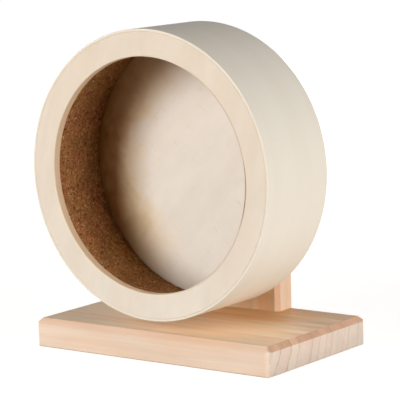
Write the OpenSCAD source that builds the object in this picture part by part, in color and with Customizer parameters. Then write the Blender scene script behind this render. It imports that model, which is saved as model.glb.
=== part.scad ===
// Wooden exercise wheel for a small rodent.
// A shallow drum of bent birch with a cork track turns on a ball bearing,
// held by a bolt in front of a pine upright that stands on a pine base.
// Millimetres. X runs across the base, Y from the open front to the back, Z up.
// The origin is the middle of the base's underside.

/* [Drum] */
// Outside diameter of the drum
wheel_d = 200; // [150:5:300]
// Depth of the drum, front face to back face
drum_depth = 70.5; // [50:0.5:110]
// Thickness of the bent band round the drum
rim_t = 1.7; // [1.2:0.1:3]
// Length of the glued scarf where the band's ends meet
scarf_l = 18; // [12:1:26]
// Thickness of the flat ring round the opening
ring_t = 6.2; // [4:0.1:9]
// Width of that ring, from the band to the opening
ring_w = 17.1; // [12:0.1:26]
// Rounding of the ring's edge at the opening
ring_ease = 0.8; // [0.3:0.1:1.2]
// Thickness of the cork track
cork_t = 5; // [3:0.5:7]
// Width of the seam where the cork strip's ends meet
cork_seam = 0.4; // [0.2:0.1:0.8]
// Thickness of the back disc
back_t = 4; // [3:0.5:6]
// Easing of the band's four thin edges
rim_ease = 0.3; // [0.1:0.1:0.4]
// How far the scarf's glue line runs past the faces of the band
scarf_over = 0.3; // [0.1:0.1:0.6]

/* [Hub] */
// Diameter of the wooden hub block
hub_d = 64; // [50:1:80]
// Thickness of the hub block
hub_t = 18; // [16.5:0.5:24]
// Chamfer round the hub's rear edge
hub_chamfer = 1.5; // [0.5:0.5:3]
// Free space in front of the bolt's head
head_room = 1.5; // [1:0.1:2]
// Free space round the corners of the bolt's head
head_side_room = 1; // [0.5:0.1:1.5]

/* [Bearing] */
// Outside diameter of the bearing
bearing_od = 22; // [21.5:0.1:24]
// Bore of the bearing
bearing_bore = 8; // [7.4:0.1:8.4]
// Width of the bearing
bearing_w = 7; // [6.6:0.1:8]
// Diameter of one ball
ball_d = 3.97; // [3.7:0.01:4.1]
// Number of balls
ball_count = 7; // [5:1:8]
// Radial gap between the shoulders of the two races
race_gap = 2.9; // [2.4:0.1:3.2]
// Running clearance between a ball and its grooves
ball_gap = 0.06; // [0.04:0.01:0.1]
// Chamfer on the corners of the races
race_chamfer = 0.3; // [0.1:0.1:0.4]
// Thickness of the sheet metal shields
shield_t = 0.3; // [0.2:0.05:0.35]
// How far a shield sits inside the face of the outer race
shield_inset = 0.3; // [0.1:0.05:0.35]
// Width of the step that a shield is pressed into
shield_seat = 0.75; // [0.5:0.05:0.9]
// Gap between a shield and the inner race
shield_gap = 0.35; // [0.25:0.05:0.5]
// Radial width of the ball cage
cage_w = 1.6; // [1.2:0.1:1.8]
// How far the cage's prongs reach in front of the balls' centres
cage_prong = 1.2; // [0.8:0.1:1.5]
// Thickness of the cage's back web behind the balls
cage_web = 0.45; // [0.3:0.05:0.5]
// Clearance between a ball and its pocket in the cage
pocket_gap = 0.08; // [0.05:0.01:0.12]

/* [Axle] */
// Diameter of the axle bolt's shank
bolt_d = 7.9; // [7.2:0.1:8]
// Width across the flats of the bolt's head and of the nut
hex_flats = 13; // [12.5:0.1:14]
// Thickness of the bolt's head
head_t = 5.3; // [4.5:0.1:6]
// Thickness of the shim between the head and the bearing
shim_t = 1; // [0.6:0.1:1.5]
// Wall of the shim and of the spacer sleeve round the bolt
sleeve_wall = 1.9; // [1.6:0.1:2]
// Length of the spacer sleeve behind the bearing
spacer_l = 5.5; // [3:0.5:12]
// Diameter of the broad washers
washer_d = 24; // [18:1:30]
// Thickness of the broad washers
washer_t = 2; // [1.2:0.1:3]
// Diameter of the spring washer
spring_washer_d = 14.8; // [13:0.1:16]
// Thickness of the spring washer
spring_washer_t = 2; // [1.4:0.1:2.5]
// Width of the split in the spring washer
spring_split = 0.8; // [0.4:0.1:1.2]
// Height of the hexagon of the cap nut
nut_t = 6.5; // [5:0.1:8]
// Diameter of the cap nut's dome
dome_d = 12.4; // [11.5:0.1:12.4]
// Straight part of the dome above the hexagon
dome_neck = 2.3; // [1:0.1:4]
// Length of the bolt inside the cap nut
thread_in_nut = 10; // [7:0.5:11]
// Space left between the bolt's end and the bottom of the nut's bore
nut_spare = 0.6; // [0.3:0.1:1]
// Chamfer on the corners of the hexagons and the bolt's end
hex_chamfer = 0.7; // [0.3:0.1:1]

/* [Stand] */
// Width of the base board
base_w = 200; // [160:5:300]
// Depth of the base board
base_d = 120; // [100:5:180]
// Thickness of the base board
base_t = 20.5; // [15:0.5:30]
// Chamfer round the top of the base
base_chamfer = 3.8; // [1:0.1:5]
// Chamfer round the underside of the base
foot_chamfer = 1; // [0.5:0.1:4]
// Rounding of the base's upright corners
corner_r = 4; // [0.5:0.5:8]
// Gap between the drum and the base
wheel_clearance = 7.3; // [4:0.1:20]
// Width of the upright
upright_w = 80; // [70:1:110]
// Thickness of the upright
upright_t = 20; // [16:1:28]
// Chamfer along the upright's edges
upright_chamfer = 3; // [1:0.1:5]
// Radius of the upright's top corners
upright_corner_r = 20; // [8:1:35]
// Height of the upright above the axle
upright_above_axle = 40; // [30:1:60]

/* [Screws and dowels] */
// Diameter of the screws that hold the upright
screw_d = 4; // [3:0.1:5]
// Length of those screws
screw_l = 50; // [40:1:60]
// Diameter of their countersunk heads
screw_head_d = 8; // [7:0.1:10]
// Height of the countersunk heads' cone
screw_head_h = 2.4; // [1.8:0.1:3]
// Thickness of the heads' straight edge
screw_head_edge = 0.4; // [0.2:0.1:0.6]
// Length of the screws' point
screw_point = 4; // [2:0.5:6]
// Space left in the wood past the screws' points
screw_spare = 1; // [0.5:0.1:2]
// How far the heads are sunk below the base's underside
screw_sink = 0.4; // [0.2:0.1:1]
// Distance between the two screws
screw_pitch = 32; // [20:1:40]
// Diameter of the dowels
dowel_d = 8; // [6:0.5:10]
// Length of the dowels
dowel_l = 30; // [24:1:36]
// Depth of the dowels in the base
dowel_in_base = 12; // [8:0.5:13]
// Space for glue past each end of a dowel
dowel_spare = 1; // [0.5:0.1:2]
// Distance between the two dowels
dowel_pitch = 58; // [52:1:64]
// Chamfer on the ends of the dowels
dowel_chamfer = 1; // [0.5:0.1:1.5]

/* [Fits] */
// Gap that glue fills between curved wooden pieces
glue_gap = 0.05; // [0.02:0.01:0.15]
// Radial clearance of pressed and close fits
fit_gap = 0.05; // [0.02:0.01:0.1]
// Radial clearance of bolt and screw holes in wood
hole_gap = 0.2; // [0.1:0.05:0.4]

/* [Hidden] */

birch = [0.92, 0.86, 0.78];
cork = [0.44, 0.28, 0.15];
pine = [0.93, 0.79, 0.67];
steel = [0.72, 0.73, 0.75];
dark_steel = [0.52, 0.53, 0.55];
cage_plastic = [0.82, 0.78, 0.66];
beech = [0.84, 0.70, 0.54];

// How far a cut runs past the face that it opens
cut_over = 1;

// Roundness of large and small turned pieces
$fn = 96;
large = 180;
fine = 48;

// Drum, front to back
rim_r = wheel_d / 2;
rim_inner_r = rim_r - rim_t;
liner_r = rim_inner_r - glue_gap;
opening_r = rim_inner_r - ring_w;
cork_l = drum_depth - ring_t - back_t;

// Places along the axle, worked forwards from the upright's front face
upright_back = base_d / 2;
upright_front = upright_back - upright_t;
bearing_back = upright_front - washer_t - spacer_l;
bearing_front = bearing_back - bearing_w;
head_front = bearing_front - shim_t - head_t;
drum_back = bearing_back - hub_t;
drum_front = drum_back - drum_depth;
nut_front = upright_back + washer_t + spring_washer_t;
axle_h = base_t + wheel_clearance + wheel_d / 2;

// Bearing
pitch_r = (bearing_od + bearing_bore) / 4;
groove_r = ball_d / 2 + ball_gap;
inner_shoulder_r = pitch_r - race_gap / 2;
outer_shoulder_r = pitch_r + race_gap / 2;
shield_step = shield_inset + shield_t;
shield_outer_r = outer_shoulder_r + shield_seat;
pocket_r = ball_d / 2 + pocket_gap;

// Axle
bolt_r = bolt_d / 2;
sleeve_bore_r = bolt_r + fit_gap;
sleeve_r = sleeve_bore_r + sleeve_wall;
bolt_l = nut_front - bearing_front + shim_t + thread_in_nut;
hex_r = hex_flats / sqrt(3);
// How far a hexagon's corner is turned down for each millimetre of chamfer
corner_slope = 2;
dome_r = dome_d / 2;
upright_hole_r = bolt_r + hole_gap;

// Upright
upright_top = axle_h + upright_above_axle;
screw_hole_r = screw_d / 2 + hole_gap;
dowel_r = dowel_d / 2;

// Puts a piece that was drawn along Z on the axle, its start at this depth
module on_axle(y) {
    translate([0, y, axle_h]) rotate([-90, 0, 0]) children();
}

// A round piece turned from its half section of radius and height
module turned(section, roundness = $fn) {
    rotate_extrude($fn = roundness) polygon(section);
}

// A plain ring or washer
module ring(outer_r, inner_r, height, roundness = $fn) {
    turned([[inner_r, 0], [outer_r, 0], [outer_r, height], [inner_r, height]], roundness);
}

// A hexagon with its corners turned down at the chosen ends
module hexagon(height, chamfer_start, chamfer_end) {
    intersection() {
        cylinder(r = hex_r, h = height, $fn = 6);
        turned([[0, 0],
                [hex_r - chamfer_start * corner_slope, 0],
                [hex_r, chamfer_start],
                [hex_r, height - chamfer_end],
                [hex_r - chamfer_end * corner_slope, height],
                [0, height]]);
    }
}

// Copies a piece to both sides of the middle, this far apart
module pair(pitch) {
    for (side = [-1, 1])
        translate([side * pitch / 2, (upright_front + upright_back) / 2, 0])
            children();
}

// Bent band: the ends overlap in a glued scarf at the bottom of the drum
module rim() {
    color(birch)
        on_axle(drum_front)
            difference() {
                turned([[rim_inner_r, rim_ease],
                        [rim_inner_r + rim_ease, 0],
                        [rim_r - rim_ease, 0],
                        [rim_r, rim_ease],
                        [rim_r, drum_depth - rim_ease],
                        [rim_r - rim_ease, drum_depth],
                        [rim_inner_r + rim_ease, drum_depth],
                        [rim_inner_r, drum_depth - rim_ease]], large);
                scarf_line();
            }
}

// The thin glue line of the scarf, a slanted slot through the band
module scarf_line() {
    middle_r = (rim_r + rim_inner_r) / 2;
    curve_drop = pow(scarf_l / 2, 2) / (2 * middle_r);
    slope = atan2(rim_t / 2 + curve_drop + scarf_over, scarf_l / 2);
    translate([0, middle_r, drum_depth / 2])
        rotate([0, 0, slope])
            cube([scarf_l, glue_gap * 2, drum_depth + 2 * cut_over], center = true);
}

// Flat ring that closes the front down to the opening
module front_ring() {
    soft = ring_ease / 2;
    color(birch)
        on_axle(drum_front)
            turned([[opening_r, ring_ease],
                    [opening_r + soft / 2, soft / 2],
                    [opening_r + ring_ease, 0],
                    [liner_r - rim_ease, 0],
                    [liner_r, rim_ease],
                    [liner_r, ring_t],
                    [opening_r + soft, ring_t],
                    [opening_r, ring_t - soft]], large);
}

// Cork strip laid round the inside, its ends meeting at the top
module cork_lining() {
    color(cork)
        on_axle(drum_front + ring_t)
            difference() {
                ring(liner_r, liner_r - cork_t, cork_l, large);
                translate([-cork_seam / 2, -rim_r, -cut_over])
                    cube([cork_seam, cork_t * 2 + rim_t, cork_l + 2 * cut_over]);
            }
}

// Round back, glued inside the band's rear edge
module back_disc() {
    color(birch)
        on_axle(drum_back - back_t)
            turned([[0, 0],
                    [liner_r, 0],
                    [liner_r, back_t - rim_ease],
                    [liner_r - rim_ease, back_t],
                    [0, back_t]], large);
}

// Hub glued to the back: the bearing's pocket opens to the rear, and the
// recess in front of it takes the bolt's head, so the track side stays smooth
module hub_block() {
    hub_r = hub_d / 2;
    seat_r = bearing_od / 2 + fit_gap;
    head_r = hex_r + head_side_room;
    seat_floor = hub_t - bearing_w;
    recess_floor = seat_floor - shim_t - head_t - head_room;
    color(birch)
        on_axle(drum_back)
            turned([[0, 0],
                    [hub_r, 0],
                    [hub_r, hub_t - hub_chamfer],
                    [hub_r - hub_chamfer, hub_t],
                    [seat_r, hub_t],
                    [seat_r, seat_floor],
                    [head_r, seat_floor],
                    [head_r, recess_floor],
                    [0, recess_floor]], fine * 2);
}

// Half section of the circular groove that the balls run in
module ball_groove() {
    translate([pitch_r, bearing_w / 2]) circle(r = groove_r, $fn = fine);
}

module bearing_outer_race() {
    race_r = bearing_od / 2;
    color(steel)
        on_axle(bearing_front)
            rotate_extrude()
                difference() {
                    polygon([[outer_shoulder_r, shield_step],
                             [shield_outer_r, shield_step],
                             [shield_outer_r, 0],
                             [race_r - race_chamfer, 0],
                             [race_r, race_chamfer],
                             [race_r, bearing_w - race_chamfer],
                             [race_r - race_chamfer, bearing_w],
                             [shield_outer_r, bearing_w],
                             [shield_outer_r, bearing_w - shield_step],
                             [outer_shoulder_r, bearing_w - shield_step]]);
                    ball_groove();
                }
}

module bearing_inner_race() {
    bore_r = bearing_bore / 2;
    color(steel)
        on_axle(bearing_front)
            rotate_extrude()
                difference() {
                    polygon([[bore_r, race_chamfer],
                             [bore_r + race_chamfer, 0],
                             [inner_shoulder_r - race_chamfer, 0],
                             [inner_shoulder_r, race_chamfer],
                             [inner_shoulder_r, bearing_w - race_chamfer],
                             [inner_shoulder_r - race_chamfer, bearing_w],
                             [bore_r + race_chamfer, bearing_w],
                             [bore_r, bearing_w - race_chamfer]]);
                    ball_groove();
                }
}

// Sheet metal ring pressed into the outer race, clear of the inner one
module shield() {
    ring(shield_outer_r - fit_gap, inner_shoulder_r + shield_gap, shield_t);
}

module bearing_front_shield() {
    color(dark_steel) on_axle(bearing_front + shield_inset) shield();
}

module bearing_rear_shield() {
    color(dark_steel) on_axle(bearing_back - shield_step) shield();
}

// Places a shape at every ball
module at_balls() {
    for (i = [0 : ball_count - 1])
        rotate([0, 0, i * 360 / ball_count])
            translate([pitch_r, 0, bearing_w / 2])
                children();
}

module bearing_balls() {
    color(steel)
        on_axle(bearing_front)
            at_balls() sphere(d = ball_d, $fn = fine);
}

// Crown cage: a ring with round pockets that the balls snap into
module bearing_cage() {
    cage_front = bearing_w / 2 - cage_prong;
    cage_back = bearing_w / 2 + pocket_r + cage_web;
    color(cage_plastic)
        on_axle(bearing_front)
            difference() {
                translate([0, 0, cage_front])
                    ring(pitch_r + cage_w / 2, pitch_r - cage_w / 2, cage_back - cage_front);
                at_balls() sphere(r = pocket_r, $fn = fine);
            }
}

// Hexagon head bolt, its head hidden in the hub
module axle_bolt() {
    color(steel)
        on_axle(head_front) {
            hexagon(head_t, hex_chamfer, 0);
            translate([0, 0, head_t])
                turned([[0, -head_t / 2],
                        [bolt_r, -head_t / 2],
                        [bolt_r, bolt_l - hex_chamfer],
                        [bolt_r - hex_chamfer, bolt_l],
                        [0, bolt_l]]);
        }
}

module head_shim() {
    color(steel) on_axle(bearing_front - shim_t) ring(sleeve_r, sleeve_bore_r, shim_t);
}

// Keeps the turning hub clear of the upright
module spacer_sleeve() {
    color(steel) on_axle(bearing_back) ring(sleeve_r, sleeve_bore_r, spacer_l);
}

module broad_washer() {
    ring(washer_d / 2, upright_hole_r, washer_t);
}

module front_washer() {
    color(steel) on_axle(upright_front - washer_t) broad_washer();
}

module rear_washer() {
    color(steel) on_axle(upright_back) broad_washer();
}

// Split ring that keeps the nut from working loose
module spring_washer() {
    washer_r = spring_washer_d / 2;
    color(dark_steel)
        on_axle(upright_back + washer_t)
            difference() {
                ring(washer_r, upright_hole_r, spring_washer_t);
                translate([washer_r / 2, 0, spring_washer_t / 2])
                    rotate([25, 0, 0])
                        cube([washer_r + 2 * cut_over, spring_split, spring_washer_t * 2], center = true);
            }
}

// Domed nut that covers the bolt's end
module cap_nut() {
    dome_centre = nut_t + dome_neck;
    bore_depth = thread_in_nut + nut_spare;
    color(steel)
        on_axle(nut_front)
            difference() {
                union() {
                    hexagon(nut_t, 0, hex_chamfer);
                    cylinder(r = dome_r, h = dome_centre);
                    translate([0, 0, dome_centre]) sphere(r = dome_r);
                }
                translate([0, 0, -cut_over])
                    cylinder(r = bolt_r + fit_gap, h = bore_depth + cut_over);
                translate([0, 0, -dome_r * 2])
                    cylinder(r = hex_r, h = dome_r * 2);
            }
}

// Section of a board whose long edges are chamfered on both faces
module board_section(width, thickness, chamfer) {
    x = width / 2;
    y = thickness / 2;
    polygon([[-x + chamfer, -y], [x - chamfer, -y],
             [x, -y + chamfer], [x, y - chamfer],
             [x - chamfer, y], [-x + chamfer, y],
             [-x, y - chamfer], [-x, -y + chamfer]]);
}

// Upright board with chamfered edges and rounded top corners, before drilling
module upright_blank() {
    r = upright_corner_r;
    height = upright_top - base_t;
    half_t = upright_t / 2;
    c = upright_chamfer;
    translate([0, upright_front + half_t, base_t]) {
        linear_extrude(height - r) board_section(upright_w, upright_t, c);
        translate([0, 0, height / 2])
            rotate([0, 90, 0])
                linear_extrude(upright_w - 2 * r, center = true)
                    intersection() {
                        board_section(height, upright_t, c);
                        translate([-height / 2, -half_t]) square([height - c, upright_t]);
                    }
        for (side = [-1, 1])
            translate([side * (upright_w / 2 - r), -half_t, height - r])
                rotate([-90, 0, 0])
                    turned([[0, 0], [r - c, 0], [r, c],
                            [r, upright_t - c], [r - c, upright_t], [0, upright_t]]);
    }
}

module upright() {
    screw_reach = screw_sink + screw_l - base_t;
    dowel_reach = dowel_l - dowel_in_base;
    color(pine)
        difference() {
            upright_blank();
            on_axle(upright_front - cut_over)
                cylinder(r = upright_hole_r, h = upright_t + 2 * cut_over, $fn = fine);
            pair(screw_pitch)
                translate([0, 0, base_t - cut_over])
                    cylinder(r = screw_d / 2 + fit_gap, h = screw_reach + screw_spare + cut_over, $fn = fine);
            pair(dowel_pitch)
                translate([0, 0, base_t - cut_over])
                    cylinder(r = dowel_r + fit_gap, h = dowel_reach + dowel_spare + cut_over, $fn = fine);
        }
}

// Section of the base board with a chamfer at the top and one at the foot
module base_section(width) {
    x = width / 2;
    polygon([[-x + foot_chamfer, 0], [x - foot_chamfer, 0],
             [x, foot_chamfer], [x, base_t - base_chamfer],
             [x - base_chamfer, base_t], [-x + base_chamfer, base_t],
             [-x, base_t - base_chamfer], [-x, foot_chamfer]]);
}

// Rectangle with round corners
module round_rectangle(width, depth, r) {
    square([width - 2 * r, depth], center = true);
    square([width, depth - 2 * r], center = true);
    for (x = [-1, 1], y = [-1, 1])
        translate([x * (width / 2 - r), y * (depth / 2 - r)])
            circle(r = r, $fn = fine);
}

module base_board() {
    head_hole_r = screw_head_d / 2 + hole_gap;
    head_edge = screw_sink + screw_head_edge;
    dowel_hole = dowel_in_base + dowel_spare;
    color(pine)
        difference() {
            intersection() {
                rotate([90, 0, 0]) linear_extrude(base_d, center = true) base_section(base_w);
                rotate([90, 0, 90]) linear_extrude(base_w, center = true) base_section(base_d);
                linear_extrude(base_t) round_rectangle(base_w, base_d, corner_r);
            }
            pair(screw_pitch) {
                translate([0, 0, -cut_over])
                    cylinder(r = screw_hole_r, h = base_t + 2 * cut_over, $fn = fine);
                translate([0, 0, head_edge])
                    cylinder(r1 = head_hole_r, r2 = screw_hole_r, h = screw_head_h, $fn = fine);
                translate([0, 0, -cut_over])
                    cylinder(r = head_hole_r, h = head_edge + cut_over, $fn = fine);
            }
            pair(dowel_pitch)
                translate([0, 0, base_t - dowel_hole])
                    cylinder(r = dowel_r + fit_gap, h = dowel_hole + cut_over, $fn = fine);
        }
}

// Two countersunk screws up through the base into the upright
module upright_screws() {
    head_r = screw_head_d / 2;
    shank_r = screw_d / 2;
    color(steel)
        pair(screw_pitch)
            translate([0, 0, screw_sink])
                turned([[0, 0],
                        [head_r, 0],
                        [head_r, screw_head_edge],
                        [shank_r, screw_head_edge + screw_head_h],
                        [shank_r, screw_l - screw_point],
                        [0, screw_l]], fine);
}

// Two dowels that keep the upright from turning on its screws
module upright_dowels() {
    color(beech)
        pair(dowel_pitch)
            translate([0, 0, base_t - dowel_in_base])
                turned([[0, 0],
                        [dowel_r - dowel_chamfer, 0],
                        [dowel_r, dowel_chamfer],
                        [dowel_r, dowel_l - dowel_chamfer],
                        [dowel_r - dowel_chamfer, dowel_l],
                        [0, dowel_l]], fine);
}

rim();
front_ring();
cork_lining();
back_disc();
hub_block();
bearing_outer_race();
bearing_front_shield();
bearing_rear_shield();
bearing_balls();
bearing_cage();
bearing_inner_race();
axle_bolt();
head_shim();
spacer_sleeve();
front_washer();
rear_washer();
spring_washer();
cap_nut();
upright();
base_board();
upright_screws();
upright_dowels();
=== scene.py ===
import math

import bmesh
import bpy
from mathutils import Matrix, Vector


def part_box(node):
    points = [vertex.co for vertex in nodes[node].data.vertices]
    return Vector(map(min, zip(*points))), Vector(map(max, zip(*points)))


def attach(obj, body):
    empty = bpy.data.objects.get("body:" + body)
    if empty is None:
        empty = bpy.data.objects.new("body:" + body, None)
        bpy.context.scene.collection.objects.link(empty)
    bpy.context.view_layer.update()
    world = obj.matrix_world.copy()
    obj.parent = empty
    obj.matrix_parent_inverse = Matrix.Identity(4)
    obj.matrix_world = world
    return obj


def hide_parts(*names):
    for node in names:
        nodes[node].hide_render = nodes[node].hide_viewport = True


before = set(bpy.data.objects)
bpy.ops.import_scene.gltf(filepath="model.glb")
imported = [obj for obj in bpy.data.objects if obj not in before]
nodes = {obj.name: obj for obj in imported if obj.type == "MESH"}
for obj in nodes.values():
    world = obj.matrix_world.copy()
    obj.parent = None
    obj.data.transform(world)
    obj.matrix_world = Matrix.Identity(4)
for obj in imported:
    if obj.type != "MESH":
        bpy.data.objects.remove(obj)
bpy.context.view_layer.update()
scene = bpy.context.scene
white, black = (1, 1, 1, 1), (0, 0, 0, 1)

# Everything is in metres. The axle runs along Y through the middle of the drum.
bandLow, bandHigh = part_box("rim")
ringLow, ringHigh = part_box("front_ring")
corkLow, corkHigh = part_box("cork_lining")
discLow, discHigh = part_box("back_disc")
hubLow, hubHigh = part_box("hub_block")
axleHeight = (bandLow.z + bandHigh.z) / 2


def addObject(name, data):
    made = bpy.data.objects.new(name, data)
    scene.collection.objects.link(made)
    return made


def discard(made, store):
    data = made.data
    bpy.data.objects.remove(made)
    store.remove(data)


# camera

cameraSetup = {
    "place": (0.8920, -1.2045, 0.3351),
    "turn": 36.42,   # degrees round the vertical
    "tilt": -8.78,   # degrees, down from level
    "roll": -1.56,
    "lens": 195.2,
    "sensor": 36,
}


def addCamera(setup):
    data = bpy.data.cameras.new("camera")
    data.lens = setup["lens"]
    data.sensor_width = setup["sensor"]
    camera = addObject("camera", data)
    camera.matrix_world = (Matrix.Translation(setup["place"])
                           @ Matrix.Rotation(math.radians(setup["turn"]), 4, "Z")
                           @ Matrix.Rotation(math.radians(90 + setup["tilt"]), 4, "X")
                           @ Matrix.Rotation(math.radians(setup["roll"]), 4, "Z"))
    scene.camera = camera


addCamera(cameraSetup)
print("camera placed")


# helpers for node trees: a socket given as a value is linked, anything else is set

def addNode(tree, kind, inputs=None, **settings):
    node = tree.nodes.new(kind)
    for name, value in settings.items():
        setattr(node, name, value)
    for key, value in (inputs or {}).items():
        if isinstance(value, bpy.types.NodeSocket):
            tree.links.new(value, node.inputs[key])
        else:
            node.inputs[key].default_value = value
    return node


def calc(tree, operation, *values):
    return addNode(tree, "ShaderNodeMath", dict(enumerate(values)), operation=operation).outputs[0]


def add(tree, total, *others):
    for other in others:
        total = calc(tree, "ADD", total, other)
    return total


def times(tree, product, *others):
    for other in others:
        product = calc(tree, "MULTIPLY", product, other)
    return product


def minus(tree, first, second):
    return calc(tree, "SUBTRACT", first, second)


def absolute(tree, value):
    return calc(tree, "ABSOLUTE", value)


def lengthOf(tree, first, second):
    return calc(tree, "SQRT", add(tree, times(tree, first, first), times(tree, second, second)))


def remap(tree, value, low, high, newLow=0.0, newHigh=1.0, smooth=False):
    kind = "SMOOTHSTEP" if smooth else "LINEAR"
    return addNode(tree, "ShaderNodeMapRange", {0: value, 1: low, 2: high, 3: newLow, 4: newHigh},
                   interpolation_type=kind).outputs[0]


def vectorMath(tree, operation, *values):
    return addNode(tree, "ShaderNodeVectorMath", dict(enumerate(values)), operation=operation).outputs[0]


def scaled(tree, vector, scale):
    return addNode(tree, "ShaderNodeVectorMath", {0: vector, "Scale": scale}, operation="SCALE").outputs[0]


def combine(tree, x, y, z):
    return addNode(tree, "ShaderNodeCombineXYZ", {0: x, 1: y, 2: z}).outputs[0]


def separate(tree, vector):
    return addNode(tree, "ShaderNodeSeparateXYZ", {0: vector}).outputs


def stretched(tree, places, scales):
    # a vector for a texture, with so many waves to the metre along each direction
    return combine(tree, *[place if scale == 1 else times(tree, place, scale)
                           for place, scale in zip(places, scales)])


def noise(tree, vector, scale=1.0, detail=2.0, roughness=0.5, distortion=0.0, output=0):
    node = addNode(tree, "ShaderNodeTexNoise", {"Vector": vector, "Scale": scale, "Detail": detail,
                                                "Roughness": roughness, "Distortion": distortion})
    return node.outputs[output]


def voronoi(tree, vector, scale, feature="F1"):
    return addNode(tree, "ShaderNodeTexVoronoi", {"Vector": vector, "Scale": scale}, feature=feature).outputs


def granules(tree, place, perMetre, wavesPerMetre, reach):
    # cells with wavy borders: the bent place, each cell's own colour, and how far its border is
    bent = vectorMath(tree, "ADD", place, scaled(tree, noise(tree, place, wavesPerMetre, output=1), reach))
    borders = voronoi(tree, bent, perMetre, "DISTANCE_TO_EDGE")["Distance"]
    return bent, voronoi(tree, bent, perMetre)["Color"], borders


def mixColour(tree, factor, first, second, blend="MIX"):
    node = addNode(tree, "ShaderNodeMix", {0: factor, 6: first, 7: second}, data_type="RGBA", blend_type=blend)
    return node.outputs[2]


def tint(tree, factor, colour, by):
    return mixColour(tree, factor, colour, by, "MULTIPLY")


def ramp(tree, value, stops, mode="LINEAR"):
    node = addNode(tree, "ShaderNodeValToRGB", {0: value})
    node.color_ramp.interpolation = mode
    elements = node.color_ramp.elements
    while len(elements) < len(stops):
        elements.new(0.5)
    for element, (place, colour) in zip(elements, stops):
        element.position = place
        element.color = colour
    return node.outputs[0]


def newMaterial(name, **values):
    material = bpy.data.materials.new(name)
    material.use_nodes = True
    tree = material.node_tree
    shader = tree.nodes["Principled BSDF"]
    for socket, value in values.items():
        shader.inputs[socket.replace("_", " ")].default_value = value
    return material, tree, shader


def objectPlace(tree, centre=(0, 0, 0)):
    place = addNode(tree, "ShaderNodeTexCoord").outputs["Object"]
    return addNode(tree, "ShaderNodeMapping", {"Vector": place, "Location": [-c for c in centre]}).outputs[0]


def objectNormal(tree):
    return separate(tree, addNode(tree, "ShaderNodeTexCoord").outputs["Normal"])


def dress(tree, shader, colour, height, depth, strength):
    bump = addNode(tree, "ShaderNodeBump", {"Height": height, "Distance": depth, "Strength": strength})
    tree.links.new(colour, shader.inputs["Base Color"])
    tree.links.new(bump.outputs[0], shader.inputs["Normal"])


# materials: pine, with growth rings that run through the whole board

baseWood = {
    "along": "X",
    "heart": (0.0, -0.095, 0.035),           # the middle of the trunk, in front of the board
    "straightAt": 0.1,                       # the rings don't wander at this end
    "rings": (                               # radius, how dark its line is, how pink the wood before it is
        (0.0440, 0.35, 0.30), (0.0536, 1.00, 0.15), (0.0657, 1.00, 0.85), (0.0750, 0.75, 0.05),
        (0.0909, 0.50, 0.80), (0.0996, 0.85, 0.60), (0.1080, 0.60, 0.25), (0.1150, 0.95, 0.75),
        (0.1223, 0.65, 0.10), (0.1300, 0.45, 0.60), (0.1355, 0.70, 0.35), (0.1480, 0.50, 0.10)),
    "early": (0.870, 0.685, 0.540, 1),
    "pinkish": (0.855, 0.610, 0.455, 1),
    "late": (0.690, 0.400, 0.240, 1),
    "endEarly": (0.760, 0.650, 0.545, 1),
    "endPinkish": (0.750, 0.595, 0.505, 1),
    "endLate": (0.300, 0.200, 0.150, 1),
    "slant": (0.720, 0.455, 0.305, 1),       # where a chamfer cuts the fibres at an angle
    "slantPinkish": (0.600, 0.362, 0.243, 1),
    "slantFaces": "Z",
    "rosier": (1.01, 0.975, 0.945, 1),       # slow clouds on the long grain
    "creamier": (0.99, 1.025, 1.055, 1),
    "edgeTint": (1.03, 0.960, 0.915, 1),     # the long chamfers are a little redder
    "paintedTopShade": (0.865, 0.870, 0.820, 1),     # painted shade: the top is greyer
    "clear": (1.31, 1.30, 1.23, 1),          # but clearer wood and painted light towards one end
    "clearAndLitStretch": (-0.070, 0.030),         # along X
    "paintedBackShadow": (0.66, 0.56, 0.44, 1),        # painted shadow: browner in the corner at the back
    "paintedBackShadowStretch": (0.155, 0.225),          # along X and Y together
    "paintedUnderDrumShade": (0.935, 0.735, 0.520, 1),   # painted shade: darker and more orange under the drum
    "underDrumDepth": (-0.012, 0.018),         # along Y
    "underDrumSide": (0.045, 0.075),           # to both sides of the middle
    "drift": 0.16,                           # how far the streaks pull these borders
}
uprightWood = {
    "along": "Z",
    "heart": (-0.028, -0.030, 0.0),
    "straightAt": 0.03,
    "rings": (
        (0.0640, 0.40, 0.35), (0.0700, 0.30, 0.70), (0.0838, 1.00, 0.45), (0.0930, 0.15, 0.75),
        (0.1003, 0.25, 0.95), (0.1045, 0.15, 0.05), (0.1100, 0.20, 0.60), (0.1160, 0.30, 0.45),
        (0.1240, 0.40, 0.60)),
    "early": (0.810, 0.665, 0.525, 1),
    "pinkish": (0.830, 0.490, 0.290, 1),
    "late": (0.600, 0.310, 0.150, 1),
    "endEarly": (0.740, 0.560, 0.430, 1),
    "endPinkish": (0.720, 0.500, 0.370, 1),
    "endLate": (0.330, 0.205, 0.140, 1),
    "slant": (0.640, 0.380, 0.230, 1),
    "slantPinkish": (0.600, 0.320, 0.190, 1),
    "slantFaces": "Y",
    "rosier": (1.0, 0.99, 0.98, 1),
    "creamier": (1.0, 1.01, 1.02, 1),
    "paintedBackWarmth": 0.14,                        # the board's back is painted pinker, against the grey sheen the light gives it
    "paintedFrontLight": (1.05, 1.10, 1.02, 1),      # and its front painted paler, painted light where the drum shades it
}


def ringRamps(tree, radius, rings):
    first, last = rings[0][0] - 0.010, rings[-1][0] + 0.002
    step = 0.0012        # the share of the ramp in which a ring's dark line stops
    share = remap(tree, radius, first, last)
    growth, zones = [(0.0, (0.2, 0.2, 0.2, 1))], []
    start = 0.0
    for ring, dark, pink in rings:
        end = (ring - first) / (last - first)
        growth += [(end, white), (end + step, black)]
        zones.append((start, (dark, pink, 0, 1)))
        start = end + step
    dark, pink = separate(tree, ramp(tree, share, zones, "CONSTANT"))[:2]
    return ramp(tree, share, growth), dark, pink


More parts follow.
